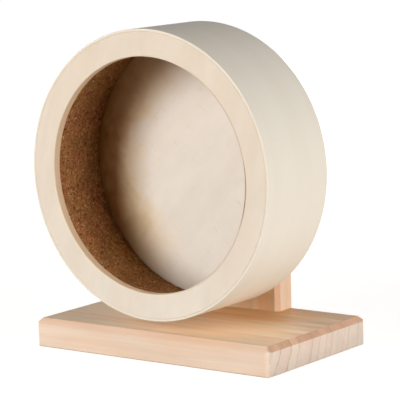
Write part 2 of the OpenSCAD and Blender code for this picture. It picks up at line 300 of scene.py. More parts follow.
def paintTopShadeAndLight(tree, wood, colour, x, y, upwards, onTop, streak):
    # painted shade and light on the top: greyer, paler towards one end partly as clearer wood, a painted shadow
    # at the back and orange painted shade under the drum
    # x and y count from the trunk's middle
    drift = times(tree, minus(tree, streak, 0.5), wood["drift"])
    drifted = add(tree, x, drift)
    onEdge = times(tree, remap(tree, upwards, 0.40, 0.60), remap(tree, upwards, 0.80, 0.92, 1.0, 0.0))
    clearAndLit = remap(tree, drifted, *wood["clearAndLitStretch"], smooth=True)
    backShadowMask = remap(tree, add(tree, x, y, drift), *wood["paintedBackShadowStretch"], smooth=True)
    depth = remap(tree, add(tree, y, wood["heart"][1]), *wood["underDrumDepth"], smooth=True)
    side = remap(tree, absolute(tree, drifted), *wood["underDrumSide"], 1.0, 0.0, smooth=True)
    colour = tint(tree, onEdge, colour, wood["edgeTint"])
    colour = tint(tree, onTop, colour, wood["paintedTopShade"])
    for mask, look in ((clearAndLit, "clear"), (backShadowMask, "paintedBackShadow"), (times(tree, depth, side), "paintedUnderDrumShade")):
        colour = tint(tree, times(tree, onTop, mask), colour, wood[look])
    return colour


def pineMaterial(name, wood):
    material, tree, shader = newMaterial(name, Roughness=0.6, Specular_IOR_Level=0.25)
    x, y, z = separate(tree, objectPlace(tree, wood["heart"]))
    normal = objectNormal(tree)
    alongX = wood["along"] == "X"
    along, across, up = (x, y, z) if alongX else (z, x, y)
    cut = absolute(tree, normal[0 if alongX else 2])
    endGrain = remap(tree, cut, 0.74, 0.90, smooth=True)
    besides = absolute(tree, normal["XYZ".index(wood["slantFaces"])])
    slant = times(tree, remap(tree, cut, 0.25, 0.65, smooth=True),
                  remap(tree, besides, 0.45, 0.62, smooth=True), calc(tree, "GREATER_THAN", normal[2], 0.0))

    def woodNoise(alongScale, acrossScale, **settings):
        scales = (alongScale, acrossScale, acrossScale)
        return noise(tree, stretched(tree, (along, across, up), scales), **settings)

    # slow bends of the trunk, none at one end of the board, and small jags in each ring
    reach = absolute(tree, minus(tree, along, wood["straightAt"]))
    mostBend, jagSize = 0.014, 0.0032
    bend = times(tree, minus(tree, woodNoise(5.0, 20.0, detail=1.0), 0.5),
                 calc(tree, "MINIMUM", times(tree, reach, 0.12), mostBend))
    jags = times(tree, minus(tree, woodNoise(40.0, 230.0, detail=3.0, roughness=0.7), 0.5), jagSize)
    radius = add(tree, lengthOf(tree, across, up), bend, jags)
    growth, dark, pink = ringRamps(tree, radius, wood["rings"])
    # dark late wood builds up towards each ring, and the ring's line is the sharp end of it
    late = times(tree, calc(tree, "POWER", growth, 4.0), dark)
    line = times(tree, calc(tree, "POWER", growth, 16.0), dark)

    # fibres along the trunk, and their cut ends on the end grain
    fibre = woodNoise(14.0, 900.0, detail=3.0, roughness=0.6)
    streak = woodNoise(2.5, 90.0)
    streaks = woodNoise(10.0, 330.0, detail=3.0, roughness=0.65)
    blotch = woodNoise(12.0, 40.0)
    hues = woodNoise(16.0, 70.0, detail=3.0)
    cutPlace = (along, radius, calc(tree, "ARCTAN2", across, up))
    pores = noise(tree, stretched(tree, cutPlace, (30.0, 1300.0, 24.0)), detail=3.0, roughness=0.7)
    patches = noise(tree, stretched(tree, cutPlace, (30.0, 330.0, 12.0)))

    # the long sides
    sideTone = add(tree, times(tree, pink, 0.45), streak)
    # painted warmth: the back face is made pinker to offset the grey sheen of the light on it
    if "paintedBackWarmth" in wood:
        sideTone = add(tree, sideTone, remap(tree, normal[1], 0.75, 0.95, 0.0, wood["paintedBackWarmth"]))
    sideColour = mixColour(tree, remap(tree, sideTone, 0.45, 1.0), wood["early"], wood["pinkish"])
    sideColour = mixColour(tree, times(tree, late, 0.32), sideColour, wood["late"])
    # painted light: the front face is made paler where the drum shades it
    if "paintedFrontLight" in wood:
        sideColour = tint(tree, remap(tree, normal[1], -0.95, -0.75, 1.0, 0.0), sideColour, wood["paintedFrontLight"])
    onTop = remap(tree, normal[2], 0.75, 0.95)
    # the base's top gets its painted shade and painted light here
    if "paintedTopShade" in wood:
        sideColour = paintTopShadeAndLight(tree, wood, sideColour, x, y, normal[2], onTop, streak)
    streaked = times(tree, onTop, remap(tree, streaks, 0.42, 0.75, 0.0, 0.18))
    sideColour = mixColour(tree, streaked, sideColour, wood["late"])
    clouds = mixColour(tree, remap(tree, hues, 0.35, 0.65), wood["rosier"], wood["creamier"])
    sideColour = tint(tree, 1.0, sideColour, clouds)

    # the sawn ends and the chamfers along them
    endTone = add(tree, times(tree, pink, 0.6), patches)
    endColour = mixColour(tree, remap(tree, endTone, 0.40, 1.05), wood["endEarly"], wood["endPinkish"])
    endColour = mixColour(tree, times(tree, late, 0.20), endColour, wood["late"])
    lines = times(tree, line, remap(tree, pores, 0.25, 0.55, 0.50, 1.0))
    lines = calc(tree, "MAXIMUM", lines, remap(tree, pores, 0.56, 0.74, 0.0, 0.25))
    endColour = mixColour(tree, lines, endColour, wood["endLate"])
    slantColour = mixColour(tree, remap(tree, endTone, 0.45, 1.0), wood["slant"], wood["slantPinkish"])
    slantColour = mixColour(tree, times(tree, line, 0.85), slantColour, wood["endLate"])

    colour = mixColour(tree, endGrain, mixColour(tree, slant, sideColour, slantColour), endColour)
    shade = add(tree, remap(tree, fibre, 0.25, 0.75, -0.05, 0.05), remap(tree, blotch, 0.3, 0.7, -0.06, 0.06))
    height = minus(tree, times(tree, fibre, 0.25), times(tree, lines, endGrain))
    dress(tree, shader, scaled(tree, colour, add(tree, shade, 1.0)), height,
          depth=0.00015, strength=0.8)
    return material


pineBase = pineMaterial("pineBase", baseWood)
pineUpright = pineMaterial("pineUpright", uprightWood)
beech = pineMaterial("beechDowel", dict(uprightWood, early=(0.62, 0.40, 0.22, 1),
                                        pinkish=(0.56, 0.35, 0.19, 1)))


# materials: birch plywood, its faces and the layers at its edges

ringVeneer = {
    "colour": (0.840, 0.722, 0.610, 1),
    "darker": (0.780, 0.640, 0.512, 1),
    "edgePale": (0.960, 0.755, 0.530, 1),
    "edgeDark": (0.880, 0.630, 0.410, 1),
    "glue": (0.62, 0.38, 0.21, 1),
    "backFaceTint": (0.60, 0.42, 0.27, 1),    # on the ring the hidden back face is painted darker: painted shade inside the drum
    "lowTint": (1.015, 1.050, 1.075, 1),    # the veneer is paler towards one end of the sheet
    "highTint": (0.975, 0.970, 0.950, 1),
    "grainTurn": 75,       # degrees from X to the grain on the face
    "figure": 0.75,        # how strong the slow waves in the veneer are
    "layer": 0.00124,      # thickness of one layer
    "glueShare": 0.04,     # the share of it that is glue, on either side
    "tintReach": 0.095,    # how far over and under the axle the tints come up
}
discVeneer = dict(ringVeneer, grainTurn=48, layer=0.001334, colour=(0.890, 0.815, 0.735, 1),
                  darker=(0.845, 0.750, 0.655, 1), backFaceTint=(0.97, 0.94, 0.90, 1),
                  lowTint=(1.0, 1.03, 1.04, 1), highTint=(1.0, 0.99, 0.98, 1))
hubVeneer = dict(ringVeneer, grainTurn=12, layer=0.0014, backFaceTint=(0.97, 0.93, 0.88, 1))


def turnedPlace(tree, x, z, degrees):
    # how far a point lies in a direction that is so many degrees up from X
    turn = math.radians(degrees)
    return add(tree, times(tree, x, math.cos(turn)), times(tree, z, math.sin(turn)))


def plyMaterial(name, look, front, addMarks=None):
    material, tree, shader = newMaterial(name, Roughness=0.52, Specular_IOR_Level=0.2)
    x, y, z = separate(tree, objectPlace(tree, (0, front, axleHeight)))
    facing = objectNormal(tree)[1]
    along = turnedPlace(tree, x, z, look["grainTurn"])
    across = turnedPlace(tree, z, x, -look["grainTurn"])

    def faceNoise(alongScale, acrossScale, **settings):
        return noise(tree, stretched(tree, (along, across, y), (alongScale, acrossScale, 1)), **settings)

    figure = faceNoise(5.0, 42.0, detail=3.0, distortion=0.6)
    fibre = faceNoise(45.0, 900.0, detail=3.0, roughness=0.65)
    pores = remap(tree, faceNoise(160.0, 1500.0, detail=1.0), 0.66, 0.76)
    clouds = faceNoise(32.0, 55.0, detail=3.0, roughness=0.6)
    waves = times(tree, remap(tree, figure, 0.42, 0.72), look["figure"])
    faceColour = mixColour(tree, waves, look["colour"], look["darker"])
    faceColour = mixColour(tree, times(tree, remap(tree, fibre, 0.45, 0.75), 0.25), faceColour, look["darker"])
    faceColour = mixColour(tree, times(tree, pores, 0.22), faceColour, look["edgeDark"])
    faceColour = scaled(tree, faceColour, remap(tree, clouds, 0.3, 0.7, 0.97, 1.03))
    reach = look["tintReach"]
    sheetTint = mixColour(tree, remap(tree, z, -reach, reach), look["lowTint"], look["highTint"])
    faceColour = tint(tree, 1.0, faceColour, sheetTint)

    # layers: pale where the fibres run along the edge, darker where they end there, thin glue between
    layers = calc(tree, "DIVIDE", y, look["layer"])
    crossing = calc(tree, "MODULO", calc(tree, "FLOOR", layers), 2.0)
    fromMiddle = absolute(tree, minus(tree, calc(tree, "FRACT", layers), 0.5))
    glue = calc(tree, "GREATER_THAN", fromMiddle, 0.5 - look["glueShare"])
    edgePlace = (calc(tree, "ARCTAN2", x, z), y, 0.0)
    edgeFibre = noise(tree, stretched(tree, edgePlace, (60.0, 2600.0, 1)), detail=3.0, roughness=0.6)
    endFibre = noise(tree, stretched(tree, edgePlace, (300.0, 1500.0, 1)), roughness=0.7)
    paleEdge = mixColour(tree, remap(tree, edgeFibre, 0.35, 0.7), look["edgePale"], look["edgeDark"])
    darkEdge = mixColour(tree, remap(tree, endFibre, 0.3, 0.7), look["edgePale"], look["edgeDark"])
    edgeColour = mixColour(tree, times(tree, crossing, 0.75), paleEdge, darkEdge)
    edgeColour = mixColour(tree, times(tree, glue, 0.45), edgeColour, look["glue"])

    onFace = remap(tree, absolute(tree, facing), 0.5, 0.85, smooth=True)
    colour = mixColour(tree, onFace, edgeColour, faceColour)
    if addMarks:
        colour = addMarks(tree, colour, x, y, z, facing)
    # each sheet's back face tint; on the ring it is painted shade inside the drum
    colour = tint(tree, remap(tree, facing, 0.7, 0.9), colour, look["backFaceTint"])
    height = minus(tree, times(tree, fibre, 0.4), times(tree, pores, 0.5))
    dress(tree, shader, colour, height, depth=0.00006, strength=0.6)
    return material


arrisMark = {
    "colour": (0.42, 0.25, 0.16, 1),
    "radius": 0.0822,      # from here inwards
    "fade": 0.0006,
    "turn": -5,            # degrees up from X to the middle of the brownest stretch
    "rest": 0.35,          # how much of it the rest of that half has
}
discShadeAndScuffs = {
    "turn": 174,           # degrees up from X to the middle of the shaded side
    "paintedWarmShade": (1.04, 0.90, 0.68, 1),    # painted warm shade on the veneer
    "paintedWarmShadeRadii": (0.050, 0.070),
    "paintedShadow": (0.48, 0.35, 0.12, 1),      # and painted deep shadow along the rim
    "paintedShadowRadii": (0.066, 0.092),
    "ragged": 0.006,
    "scuff": (0.93, 0.90, 0.86, 1),
}


def brownArrisSide(tree, colour, x, y, z, facing):
    # the arris of the ring's opening is browner on one side
    spread = lengthOf(tree, x, z)
    towards = calc(tree, "DIVIDE", turnedPlace(tree, x, z, arrisMark["turn"]), spread)
    turned = remap(tree, absolute(tree, facing), 0.15, 0.45, smooth=True)
    inward = remap(tree, spread, arrisMark["radius"], arrisMark["radius"] + arrisMark["fade"], 1.0, 0.0)
    strength = calc(tree, "MAXIMUM", remap(tree, towards, 0.935, 0.995),
                    remap(tree, towards, 0.3, 0.7, 0.0, arrisMark["rest"]))
    return mixColour(tree, times(tree, turned, times(tree, inward, strength)), colour, arrisMark["colour"])


def paintDiscShadeAndScuffs(tree, colour, x, y, z, facing):
    # painted shade on one side of the inner face, warm in a band and deep at the rim, plus real scuffs
    spread = lengthOf(tree, x, z)
    towards = calc(tree, "DIVIDE", turnedPlace(tree, x, z, discShadeAndScuffs["turn"]), spread)
    inside = remap(tree, facing, -0.9, -0.7, 1.0, 0.0)
    stains = noise(tree, stretched(tree, (x, z, y), (48.0, 48.0, 1)), detail=3.0, roughness=0.6, distortion=0.5)
    spread = add(tree, spread, remap(tree, stains, 0.3, 0.7, -discShadeAndScuffs["ragged"], discShadeAndScuffs["ragged"]))
    warmShadeSide = times(tree, remap(tree, towards, 0.2, 0.75), inside)
    paintedWarmShade = times(tree, remap(tree, spread, *discShadeAndScuffs["paintedWarmShadeRadii"]), warmShadeSide)
    shadowSide = times(tree, remap(tree, towards, 0.42, 1.0, 0.1, 1.0), inside)
    shadowMask = times(tree, remap(tree, spread, *discShadeAndScuffs["paintedShadowRadii"]), shadowSide)
    # a few short scuffs that all run one way
    slope = (minus(tree, x, z), add(tree, x, z), 4.0)
    scuff = remap(tree, noise(tree, stretched(tree, slope, (65.0, 420.0, 1))), 0.62, 0.72)
    scuff = times(tree, scuff, remap(tree, stains, 0.44, 0.54), inside)
    for mask, look in ((paintedWarmShade, "paintedWarmShade"), (shadowMask, "paintedShadow"), (scuff, "scuff")):
        colour = tint(tree, mask, colour, discShadeAndScuffs[look])
    return colour


ringPly = plyMaterial("birchRing", ringVeneer, ringLow.y, brownArrisSide)
discPly = plyMaterial("birchBack", discVeneer, discLow.y, paintDiscShadeAndScuffs)
hubPly = plyMaterial("birchHub", hubVeneer, hubLow.y)


# material: the bent band, its grain running round the drum

bandLook = {
    "colour": (0.845, 0.787, 0.690, 1),
    "darker": (0.810, 0.728, 0.615, 1),
    "flake": (0.70, 0.58, 0.44, 1),
    "edge": (0.880, 0.795, 0.680, 1),
}


def bandMaterial(name, look):
    material, tree, shader = newMaterial(name, Roughness=0.52, Specular_IOR_Level=0.12)
    x, y, z = separate(tree, objectPlace(tree, (0, 0, axleHeight)))
    along = times(tree, calc(tree, "ARCTAN2", x, z), bandHigh.x)
    depth = lengthOf(tree, x, z)
    figure = noise(tree, stretched(tree, (along, y, depth), (5.0, 55.0, 1)), detail=3.0, distortion=0.5)
    fibre = noise(tree, stretched(tree, (along, y, depth), (40.0, 1100.0, 1100.0)), detail=3.0, roughness=0.6)
    flake = noise(tree, stretched(tree, (along, y, 0.0), (220.0, 1300.0, 1)), detail=1.0)
    waves = times(tree, remap(tree, figure, 0.40, 0.72), 0.45)
    colour = mixColour(tree, waves, look["colour"], look["darker"])
    colour = mixColour(tree, times(tree, remap(tree, fibre, 0.45, 0.75), 0.30), colour, look["darker"])
    colour = mixColour(tree, times(tree, remap(tree, flake, 0.66, 0.78), 0.22), colour, look["flake"])
    onEdge = remap(tree, absolute(tree, objectNormal(tree)[1]), 0.4, 0.8, smooth=True)
    dress(tree, shader, mixColour(tree, onEdge, colour, look["edge"]), fibre,
          depth=0.00005, strength=0.5)
    return material


bandBirch = bandMaterial("birchBand", bandLook)


# material: pressed cork, granules of several browns with dark binder between them

corkLook = {
    "grain": 0.0023,
    "speck": 0.0016,
    "seed": 5.3,
    "relief": 0.00026,
    "wobble": 0.55,                       # how far a granule's border strays, in granules
    "waves": 0.7,                         # and in how many waves to a granule
    "dark": (0.400, 0.158, 0.062, 1),
    "middle": (0.530, 0.215, 0.088, 1),
    "light": (0.660, 0.295, 0.128, 1),
    "binder": (0.130, 0.048, 0.018, 1),
    "chip": (0.950, 0.620, 0.340, 1),
    "redder": (1.02, 1.01, 0.99, 1),
    "greener": (0.98, 1.08, 0.96, 1),
    "paintedShadeBehind": (0.48, 0.45, 0.33, 1),      # painted shade: darker towards the back
    "paintedShadeBehindFrom": 0.018,                  # behind the strip's front edge
    "paintedTrackLight": (1.13, 1.25, 1.17, 1),    # painted light: paler at the top and the bottom of the track
    "paintedTrackLightHeights": (0.040, 0.075),    # over and under the axle
}


def corkMaterial(name, look):
    material, tree, shader = newMaterial(name, Roughness=0.85, Specular_IOR_Level=0.2)
    grain, speck, seed = look["grain"], look["speck"], look["seed"]
    place = objectPlace(tree, (seed,) * 3)
    bent, cells, borders = granules(tree, place, 1 / grain, look["waves"] / grain, grain * look["wobble"])
    tone = separate(tree, cells)[0]
    smallTone = separate(tree, voronoi(tree, bent, 2.6 / grain)["Color"])[1]
    mixed = add(tree, times(tree, tone, 0.65), times(tree, smallTone, 0.35))
    colour = mixColour(tree, remap(tree, mixed, 0.12, 0.5), look["dark"], look["middle"])
    colour = mixColour(tree, remap(tree, mixed, 0.5, 0.88), colour, look["light"])
    crevice = remap(tree, borders, 0.0, 0.10, 1.0, 0.0)
    colour = mixColour(tree, times(tree, crevice, 0.50), colour, look["binder"])

    # pale chips and slivers, dark pits
    specks = noise(tree, place, 0.9 / speck, detail=1.0)
    slivers = noise(tree, stretched(tree, separate(tree, bent), (380.0, 1050.0, 1050.0)), detail=1.0)
    pits = remap(tree, noise(tree, bent, 0.7 / speck, detail=1.0), 0.635, 0.70)
    colour = mixColour(tree, remap(tree, specks, 0.65, 0.70, 0.0, 0.70), colour, look["chip"])
    colour = mixColour(tree, remap(tree, slivers, 0.67, 0.72, 0.0, 0.85), colour, look["chip"])
    colour = mixColour(tree, times(tree, pits, 0.85), colour, look["binder"])

    # larger clouds of hue and tone, then painted shade and painted light
    hues = noise(tree, place, 60.0, detail=1.0)
    clouds = noise(tree, place, 90.0)
    hueTint = mixColour(tree, remap(tree, hues, 0.38, 0.62), look["redder"], look["greener"])
    colour = tint(tree, 1.0, colour, hueTint)
    colour = scaled(tree, colour, remap(tree, clouds, 0.3, 0.7, 0.86, 1.14))
    seededPlace = separate(tree, place)
    # painted shade, darker towards the back of the drum
    paintedShadeBehind = remap(tree, add(tree, seededPlace[1], seed), corkLow.y + look["paintedShadeBehindFrom"], corkHigh.y)
    colour = tint(tree, paintedShadeBehind, colour, look["paintedShadeBehind"])
    # painted light over and under the axle
    overAxle = absolute(tree, add(tree, seededPlace[2], seed - axleHeight))
    colour = tint(tree, remap(tree, overAxle, *look["paintedTrackLightHeights"]), colour, look["paintedTrackLight"])
    height = minus(tree, times(tree, smallTone, 0.6), add(tree, times(tree, crevice, 0.8), pits))
    dress(tree, shader, colour, height, depth=0.00025, strength=0.7)
    return material


cork = corkMaterial("pressedCork", corkLook)


# materials: metals and the cage's plastic

def twoTones(tree, factor, colour, share):
    return mixColour(tree, factor, [*colour, 1], [c * share for c in colour] + [1])


def metalMaterial(name, colour, roughness, brushed):
    material, tree, shader = newMaterial(name, Metallic=1.0)
    place = objectPlace(tree, (0, 0, axleHeight))
    x, y, z = separate(tree, place)
    turned = noise(tree, stretched(tree, (lengthOf(tree, x, z), y, 0.0), (3600.0, 3600.0, 1)))
    patch = noise(tree, scaled(tree, place, 900.0), detail=3.0, roughness=0.6)
    rough = add(tree, times(tree, patch, roughness * 0.6), roughness * 0.7)
    tree.links.new(rough, shader.inputs["Roughness"])
    tones = twoTones(tree, remap(tree, patch, 0.35, 0.7), colour, 0.82)
    dress(tree, shader, tones, turned, depth=0.00002 * brushed, strength=0.6)
    return material


# name, colour, roughness, how strongly it is brushed
zincSteel = metalMaterial("zincSteel", (0.70, 0.71, 0.73), 0.34, 1.0)
polishedSteel = metalMaterial("polishedSteel", (0.76, 0.77, 0.78), 0.12, 0.3)
bearingSteel = metalMaterial("bearingSteel", (0.74, 0.75, 0.76), 0.16, 0.5)
sheetSteel = metalMaterial("sheetSteel", (0.62, 0.63, 0.65), 0.30, 0.8)
yellowZinc = metalMaterial("yellowZinc", (0.72, 0.58, 0.30), 0.32, 0.8)


def plasticMaterial(name, colour):
    material, tree, shader = newMaterial(name, Roughness=0.45)
    grain = noise(tree, scaled(tree, objectPlace(tree), 2500.0))
    dress(tree, shader, twoTones(tree, grain, colour, 0.9), grain,
          depth=0.00002, strength=0.4)
    return material


cagePlastic = plasticMaterial("cagePlastic", (0.66, 0.60, 0.45))
print("materials made")


# helpers for geometry trees and meshes

def startTree(name, inputs):
    tree = bpy.data.node_groups.new(name, "GeometryNodeTree")
    tree.is_modifier = True
    for title, (kind, value) in inputs.items():
        socket = tree.interface.new_socket(name=title, in_out="INPUT", socket_type="NodeSocket" + kind)
        if value is not None:
            socket.default_value = value
    tree.interface.new_socket(name="Geometry", in_out="OUTPUT", socket_type="NodeSocketGeometry")
    return tree, addNode(tree, "NodeGroupInput").outputs


def endTree(tree, geometry, material):
    real = addNode(tree, "GeometryNodeRealizeInstances", {0: geometry}).outputs[0]
    finished = addNode(tree, "GeometryNodeSetMaterial", {"Geometry": real, "Material": material}).outputs[0]
    addNode(tree, "NodeGroupOutput", {"Geometry": finished})
    return tree


def bakePiece(piece):
    graph = bpy.context.evaluated_depsgraph_get()
    old = piece.data
    piece.data = bpy.data.meshes.new_from_object(piece.evaluated_get(graph), preserve_all_data_layers=True,
                                                 depsgraph=graph)
    piece.data.name = piece.name
    piece.modifiers.clear()
    bpy.data.meshes.remove(old)
    return piece


def bakeTree(name, tree, inputs):
    piece = addObject(name, bpy.data.meshes.new("start"))
    modifier = piece.modifiers.new("build", "NODES")
    modifier.node_group = tree
    for item in tree.interface.items_tree:
        if item.in_out == "INPUT" and item.name in inputs:
            modifier[item.identifier] = inputs[item.name]
    return bakePiece(piece)


def editMesh(mesh, *steps):
    work = bmesh.new()
    work.from_mesh(mesh)
    for step in steps:
        step(work)
    work.to_mesh(mesh)
    work.free()


def mergeClose(work):
    bmesh.ops.remove_doubles(work, verts=work.verts, dist=0.000001)


def joinFlatFaces(work):
    bmesh.ops.dissolve_limit(work, angle_limit=math.radians(0.2), verts=work.verts, edges=work.edges)


def faceOutwards(work):
    bmesh.ops.recalc_face_normals(work, faces=work.faces)


def smoothBelow(mesh, degrees):
    for polygon in mesh.polygons:
        polygon.use_smooth = True
    mesh.set_sharp_from_angle(angle=math.radians(degrees))


def cutAway(piece, shape, crossed=False):
    mesh = bpy.data.meshes.new("cutter")
    shape.to_mesh(mesh)
    shape.free()
    cutter = addObject("cutter", mesh)
    cut = piece.modifiers.new("cut", "BOOLEAN")
    cut.operation = "DIFFERENCE"
    cut.solver = "EXACT"
    cut.use_self = crossed      # where the cutter's parts run through each other
    cut.object = cutter
    bakePiece(piece)
    discard(cutter, bpy.data.meshes)


# turned pieces: a section swept round the axle

def turnedTree():
    tree, given = startTree("turnedPiece", {
        "Section": ("Object", None), "Section Radius": ("Float", 0.05), "Axle Height": ("Float", 0.1),
        "Steps": ("Int", 360), "Seam": ("Float", 0.0), "Track Radius": ("Float", 0.0),
        "Relief": ("Float", 0.0), "Grain": ("Float", 0.002), "Seed": ("Float", 0.0),
        "Material": ("Material", None)})
    section = addNode(tree, "GeometryNodeObjectInfo", {"Object": given["Section"]}).outputs["Geometry"]
    whole = addNode(tree, "GeometryNodeCurvePrimitiveCircle",
                    {"Resolution": given["Steps"], "Radius": given["Section Radius"]}).outputs[0]
    seamAngle = calc(tree, "DIVIDE", given["Seam"], given["Section Radius"])
    arc = addNode(tree, "GeometryNodeCurveArc", {
        "Resolution": given["Steps"], "Radius": given["Section Radius"],
        "Start Angle": add(tree, calc(tree, "DIVIDE", seamAngle, 2.0), math.pi / 2),
        "Sweep Angle": minus(tree, 2 * math.pi, seamAngle)}).outputs[0]
    hasSeam = addNode(tree, "FunctionNodeCompare", {0: given["Seam"], 1: 0.0},
                      operation="GREATER_THAN").outputs[0]
    path = addNode(tree, "GeometryNodeSwitch", {"Switch": hasSeam, "False": whole, "True": arc},
                   input_type="GEOMETRY").outputs[0]
    swept = addNode(tree, "GeometryNodeCurveToMesh",
                    {"Curve": path, "Profile Curve": section, "Fill Caps": hasSeam}).outputs[0]
    closed = addNode(tree, "GeometryNodeMergeByDistance", {"Geometry": swept, "Distance": 0.000002}).outputs[0]
    onAxle = addNode(tree, "GeometryNodeTransform", {
        "Geometry": closed, "Translation": combine(tree, 0.0, 0.0, given["Axle Height"]),
        "Rotation": (math.pi / 2, 0, 0)}).outputs[0]

    # relief on the track: granules stand a little apart, with dents along their borders
    place = addNode(tree, "GeometryNodeInputPosition").outputs[0]
    parts = separate(tree, place)
    radial = combine(tree, parts[0], 0.0, minus(tree, parts[2], given["Axle Height"]))
    outward = vectorMath(tree, "NORMALIZE", radial)
    distance = addNode(tree, "ShaderNodeVectorMath", {0: radial}, operation="LENGTH").outputs["Value"]
    onTrack = addNode(tree, "FunctionNodeCompare", {0: distance, 1: given["Track Radius"]},
                      operation="LESS_THAN").outputs[0]
    seeded = vectorMath(tree, "SUBTRACT", place, combine(tree, *[given["Seed"]] * 3))
    perMetre = calc(tree, "DIVIDE", 1.0, given["Grain"])
    bent, cells, borders = granules(tree, seeded, perMetre, times(tree, perMetre, corkLook["waves"]),
                                    times(tree, given["Grain"], corkLook["wobble"]))
    raised = times(tree, separate(tree, cells)[0], 0.6)
    dent = remap(tree, borders, 0.0, 0.15, 0.4, 0.0)
    push = times(tree, add(tree, raised, dent), given["Relief"])
    rough = addNode(tree, "GeometryNodeSetPosition", {
        "Geometry": onAxle, "Selection": onTrack, "Offset": scaled(tree, outward, push)}).outputs[0]
    return endTree(tree, rough, given["Material"])


def roundedOutline(corners, closed=True, arcSteps=4, support=0.0004):
    # corners are (radius, depth, rounding, cuts in the side that follows), and beside
    # each rounding a support loop keeps the side flat
    count = len(corners)
    points = []
    for i, (radius, depth, rounding, cuts) in enumerate(corners):
        here = Vector((radius, depth))
        after = Vector(corners[(i + 1) % count][:2])
        before = Vector(corners[i - 1][:2])
        isEnd = not closed and i in (0, count - 1)
        if rounding and not isEnd:
            back = (before - here).normalized()
            on = (after - here).normalized()
            half = back.angle(on) / 2
            reach = rounding / math.tan(half)
            points.append(here + back * (reach + support))
            middle = here + (back + on).normalized() * (rounding / math.sin(half))
            first = here + back * reach - middle
            last = here + on * reach - middle
            sweep = first.angle_signed(last)
            for k in range(arcSteps + 1):
                points.append(middle + Matrix.Rotation(-sweep * k / arcSteps, 2) @ first)
            points.append(here + on * (reach + support))
        else:
            points.append(here)
        if cuts:
            start = points[-1].copy()
            nextRounding = corners[(i + 1) % count][2]
            end = after + (start - after).normalized() * (nextRounding + support if nextRounding else 0)
            for k in range(1, cuts + 1):
                points.append(start.lerp(end, k / (cuts + 1)))
    return points


def sectionCurve(points, middleRadius, closed):
    data = bpy.data.curves.new("section", "CURVE")
    spline = data.splines.new("POLY")
    spline.points.add(len(points) - 1)
    for point, (radius, depth) in zip(spline.points, points):
        point.co = (radius - middleRadius, depth, 0, 1)
    spline.use_cyclic_u = closed
    return addObject("section", data)


turnedPieces = turnedTree()
creaseAngle = 40        # degrees, sharper edges of a turned piece stay sharp


def turnPiece(name, corners, material, steps, closed=True, track=None):
    middleRadius = max(c[0] for c in corners)
    section = sectionCurve(roundedOutline(corners, closed), middleRadius, closed)
    inputs = {"Section": section, "Section Radius": middleRadius, "Axle Height": axleHeight,
              "Steps": steps, "Material": material}
    piece = bakeTree(name, turnedPieces, {**inputs, **(track or {})})
    discard(section, bpy.data.curves)
    editMesh(piece.data, faceOutwards)
    smoothBelow(piece.data, creaseAngle)
    return piece


drumSizes = {
    "steps": 480,            # straight pieces in a whole turn
    "discSteps": 360,
    "corkSteps": 800,
    "bandThickness": 0.0017,
    "bandEase": 0.0003,
    "openingRadius": 0.0812,
    "openingEase": 0.0008,
    "rimEase": 0.0003,
    "corkThickness": 0.005,
    "corkGap": 0.0011,       # the strip is cut a little narrow, so a dark seam shows at the back
    "corkSeam": 0.0004,
    "scarfLength": 0.018,
    "scarfRise": 0.0003,     # the slot runs this far past the band's faces
    "scarfOverrun": 0.004,   # and this far past its two edges together
    "glueLine": 0.0001,
    "trackReach": 0.0003,    # what lies this near the track's face gets its relief
}


def makeBand(sizes):
    outer = bandHigh.x
    inner = outer - sizes["bandThickness"]
    ease = sizes["bandEase"]
    front, back = bandLow.y, bandHigh.y
    band = turnPiece("bentBand", [(outer, front, ease, 6), (outer, back, ease, 0), (inner, back, ease, 6),
                                  (inner, front, ease, 0)], bandBirch, sizes["steps"])
    # the glue line of the scarf, a thin slanted slot at the bottom
    middle = (outer + inner) / 2
    half = sizes["scarfLength"] / 2
    rise = sizes["bandThickness"] / 2 + half ** 2 / (2 * middle) + sizes["scarfRise"]
    slot = bmesh.new()
    bmesh.ops.create_cube(slot, size=1.0)
    width = back - front + sizes["scarfOverrun"]
    bmesh.ops.scale(slot, vec=(sizes["scarfLength"], width, sizes["glueLine"]), verts=slot.verts)
    bmesh.ops.rotate(slot, matrix=Matrix.Rotation(math.atan2(rise, half), 3, "Y"), verts=slot.verts)
    bmesh.ops.translate(slot, vec=(0, (front + back) / 2, axleHeight - middle), verts=slot.verts)
    cutAway(band, slot)
    smoothBelow(band.data, creaseAngle)
    return band


def makeFrontRing(sizes):
    opening, ease = sizes["openingRadius"], sizes["openingEase"]
    return turnPiece("frontRing", [
        (ringHigh.x, ringLow.y, sizes["rimEase"], 0), (ringHigh.x, ringHigh.y, 0.0, 0),
        (opening, ringHigh.y, ease / 2, 4), (opening, ringLow.y, ease, 0)], ringPly, sizes["steps"])


def makeCork(sizes, look):
    outer = corkHigh.x
    inner = outer - sizes["corkThickness"]
    front, back = corkLow.y, corkHigh.y - sizes["corkGap"]
    return turnPiece("corkTrack", [(outer, front, 0.0, 2), (outer, back, 0.0, 2), (inner, back, 0.0, 76),
                                   (inner, front, 0.0, 2)], cork, sizes["corkSteps"], track={
        "Seam": sizes["corkSeam"], "Track Radius": inner + sizes["trackReach"],
        "Relief": look["relief"], "Grain": look["grain"], "Seed": look["seed"]})


def makeBackDisc(sizes):
    outer = discHigh.x
    return turnPiece("backDisc", [
        (0.0, discLow.y, 0, 0), (outer, discLow.y, 0.0, 0), (outer, discHigh.y, sizes["rimEase"], 0),
        (0.0, discHigh.y, 0, 0)], discPly, sizes["discSteps"], closed=False)


hubSizes = {
    "steps": 192,
    "chamfer": 0.0015,
    "ease": 0.0003,
    "fineEase": 0.0002,
    "pocketRadius": 0.01105,
    "pocketDepth": 0.007,
    "recessRadius": 0.008506,
    "recessDepth": 0.0148,
}


